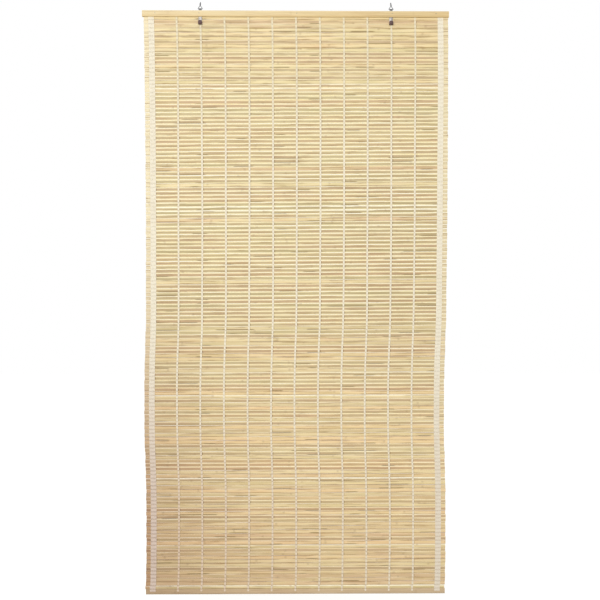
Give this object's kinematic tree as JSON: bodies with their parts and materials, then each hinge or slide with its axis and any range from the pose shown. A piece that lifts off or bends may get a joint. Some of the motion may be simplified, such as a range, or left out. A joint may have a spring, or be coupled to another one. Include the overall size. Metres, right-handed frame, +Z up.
{
  "type": "bamboo roll-up blind",
  "caption": "Hanging window blind: a mat of split bamboo slats woven on cotton threads, clamped in a head rail with wire hangers and tie hooks.",
  "frame": {"origin": "middle of the head rail's back face, the face that lies against the wall or window frame", "axes": "+Z up, +Y back towards the wall, +X to the right as seen from the front"},
  "size_m": [0.9, 0.0193, 1.7545],
  "materials": {
    "bamboo_slat": "planed, matt, natural",
    "bamboo_rail": "planed, matt, natural",
    "bamboo_batten": "planed, matt, brown",
    "cotton": "undyed twisted cotton",
    "zinc_plate": "dull zinc plate",
    "brown_vinyl": "smooth dipped vinyl",
    "steel_wire": "drawn wire",
    "brad_steel": "bright steel"
  },
  "bodies": {
    "blind": {"head_rail_front": "bamboo_rail", "head_rail_back": "bamboo_rail", "slat_mat": "bamboo_slat", "bottom_batten": "bamboo_batten", "edge_tape_left": "cotton", "edge_tape_right": "cotton", "warp_thread_01": "cotton", "warp_thread_02": "cotton", "warp_thread_03": "cotton", "warp_thread_04": "cotton", "warp_thread_05": "cotton", "warp_thread_06": "cotton", "warp_thread_07": "cotton", "warp_thread_08": "cotton", "warp_thread_09": "cotton", "warp_thread_10": "cotton", "warp_thread_11": "cotton", "strap_hook_left": "zinc_plate", "strap_hook_right": "zinc_plate", "hook_tip_left": "brown_vinyl", "hook_tip_right": "brown_vinyl", "rail_brads": "brad_steel", "strap_brads": "brad_steel"},
    "left_hanger": {"hanger_left": "steel_wire"},
    "right_hanger": {"hanger_right": "steel_wire"}
  },
  "joints": [
    {"name": "left_hanger_swing", "type": "hinge", "parent": "blind", "child": "left_hanger", "pos_m": [-0.28, -0.00745, 0.0135], "axis": [1, 0, 0], "range_deg": [-90, 90]},
    {"name": "right_hanger_swing", "type": "hinge", "parent": "blind", "child": "right_hanger", "pos_m": [0.28, -0.00745, 0.0135], "axis": [1, 0, 0], "range_deg": [-90, 90]}
  ]
}
